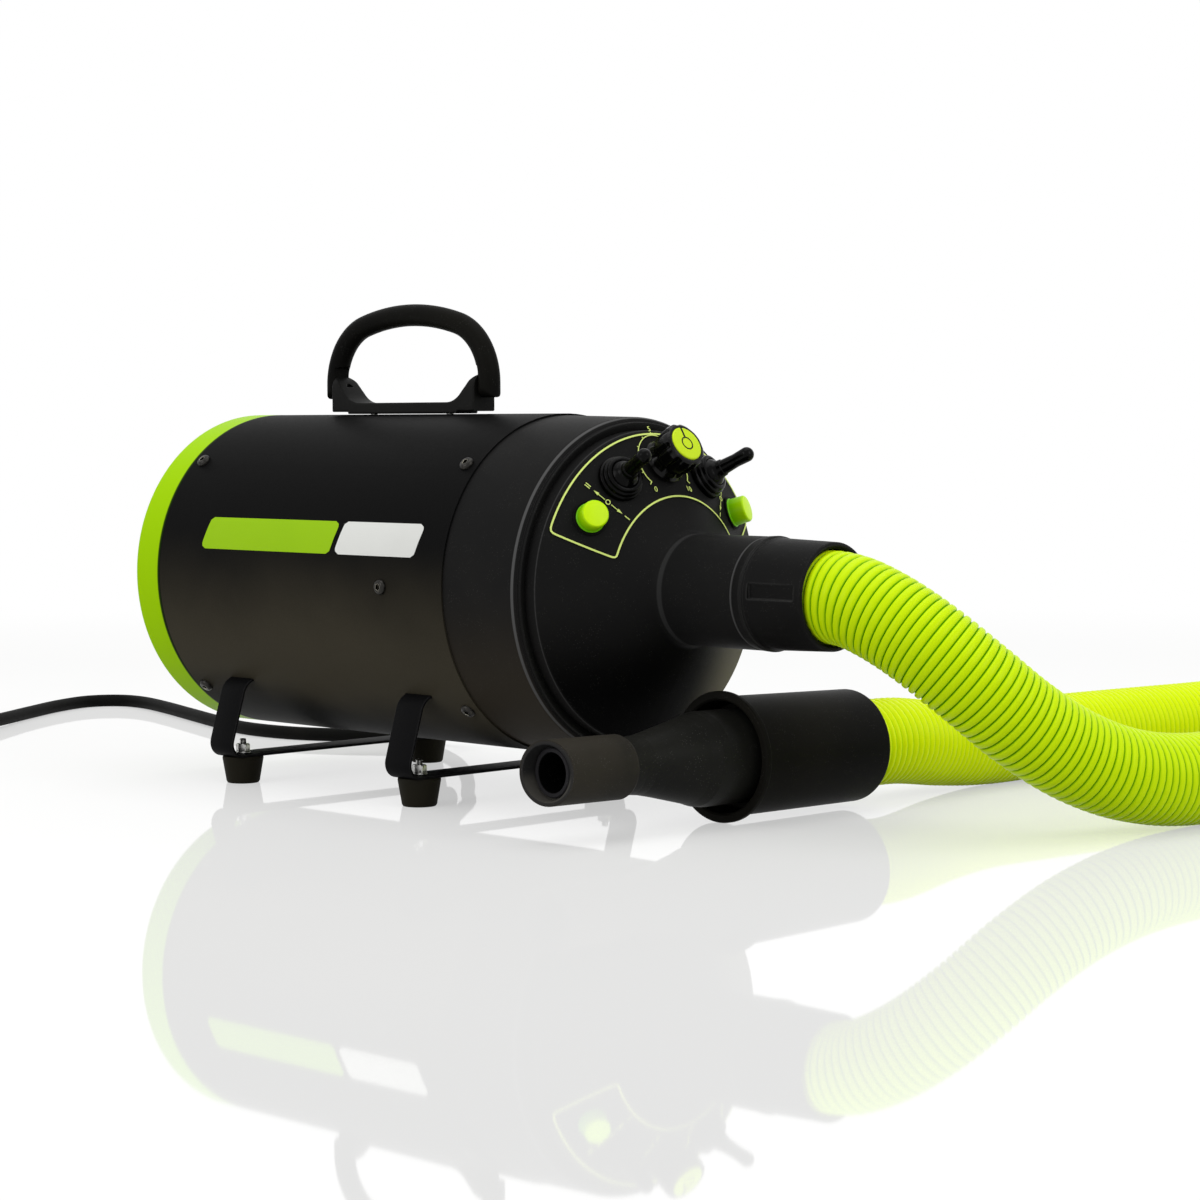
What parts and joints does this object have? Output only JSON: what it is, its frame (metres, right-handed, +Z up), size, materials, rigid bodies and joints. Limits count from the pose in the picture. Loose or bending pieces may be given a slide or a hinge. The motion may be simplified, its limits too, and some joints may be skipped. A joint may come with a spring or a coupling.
{
  "type": "pet dryer",
  "caption": "Drum-shaped blower on strap legs with a folding carry handle, a control cone, a ribbed hose and a tapered nozzle, and a mains cord.",
  "frame": {"origin": "on the floor under the middle of the drum unit's length, from the intake face to the outlet neck's end", "axes": "+X along the drum towards the air outlet, +Y to the right of someone who faces the controls, +Z up"},
  "size_m": [1.2134, 0.8994, 0.2671],
  "materials": {
    "black_paint": "satin black powder coat",
    "green_shell": "glossy lime green moulding",
    "black_moulding": "fine-grained satin black moulding",
    "green_lens": "translucent green lens",
    "green_hose": "soft lime green ribbed plastic",
    "black_rubber": "matt black rubber",
    "bright_steel": "bright zinc plate",
    "cast_aluminium": "plain cast and spun aluminium",
    "wound_field": "steel laminations with enamelled copper wire",
    "brass_parts": "plain brass",
    "grey_foam": "open-cell dark grey foam",
    "circuit_board": "green solder mask"
  },
  "bodies": {
    "dryer": {"body_sleeve": "black_paint", "rear_bulkhead": "black_paint", "front_bulkhead": "black_paint", "leg_frame_rear": "black_paint", "leg_frame_front": "black_paint", "rear_cap": "green_shell", "front_housing": "black_moulding", "front_cone": "black_moulding", "intake_grille": "black_moulding", "filter_retainer": "black_moulding", "handle_base": "black_moulding", "toggle_body_left": "black_moulding", "toggle_body_right": "black_moulding", "hose_cuff": "black_moulding", "grip_tube": "black_moulding", "nozzle": "black_moulding", "cord_ties": "black_moulding", "lamp_left": "green_lens", "lamp_right": "green_lens", "hose": "green_hose", "foot_rear_left": "black_rubber", "foot_rear_right": "black_rubber", "foot_front_left": "black_rubber", "foot_front_right": "black_rubber", "mount_rings": "black_rubber", "toggle_boot_left": "black_rubber", "toggle_boot_right": "black_rubber", "cord_gland": "black_rubber", "mains_cord": "black_rubber", "mains_cord_coil": "black_rubber", "mains_cord_tail": "black_rubber", "plug_body": "black_rubber", "sleeve_screws": "bright_steel", "handle_screws": "bright_steel", "handle_pins": "bright_steel", "foot_bolts": "bright_steel", "foot_nuts": "bright_steel", "tie_rods": "bright_steel", "motor_bearings": "bright_steel", "potentiometer": "bright_steel", "fan_shroud_rear": "cast_aluminium", "fan_shroud_front": "cast_aluminium", "motor_frame_rear": "cast_aluminium", "motor_frame_front": "cast_aluminium", "heat_sink": "cast_aluminium", "stator_rear": "wound_field", "stator_front": "wound_field", "brush_holders": "brass_parts", "plug_pins": "brass_parts", "filter_foam": "grey_foam", "acoustic_liner": "grey_foam", "control_board": "circuit_board"},
    "bail": {"handle_bail": "black_moulding"},
    "knob": {"control_knob": "black_moulding", "knob_cap": "green_lens"},
    "lever_left": {"toggle_lever_left": "black_rubber"},
    "lever_right": {"toggle_lever_right": "black_rubber"},
    "fan_rear": {"rotor_rear": "bright_steel"},
    "fan_front": {"rotor_front": "bright_steel"}
  },
  "joints": [
    {"name": "handle_fold", "type": "hinge", "parent": "dryer", "child": "bail", "pos_m": [-0.065, 0, 0.221], "axis": [1, 0, 0], "range_deg": [-105, 105]},
    {"name": "knob_turn", "type": "hinge", "parent": "dryer", "child": "knob", "pos_m": [0.12961, 0, 0.1805], "axis": [0.8641, 0, 0.5033], "range_deg": [-135, 135]},
    {"name": "toggle_left", "type": "hinge", "parent": "dryer", "child": "lever_left", "pos_m": [0.13134, -0.03176, 0.17329], "axis": [0.5033, 0.4189, -0.7557], "range_deg": [-13, 13]},
    {"name": "toggle_right", "type": "hinge", "parent": "dryer", "child": "lever_right", "pos_m": [0.13134, 0.03176, 0.17329], "axis": [0.5033, -0.4189, -0.7557], "range_deg": [-13, 13]},
    {"name": "fan_rear_spin", "type": "hinge", "parent": "dryer", "child": "fan_rear", "pos_m": [-0.1, 0, 0.116], "axis": [1, 0, 0], "continuous": true},
    {"name": "fan_front_spin", "type": "hinge", "parent": "dryer", "child": "fan_front", "pos_m": [0.024, 0, 0.116], "axis": [1, 0, 0], "continuous": true}
  ]
}
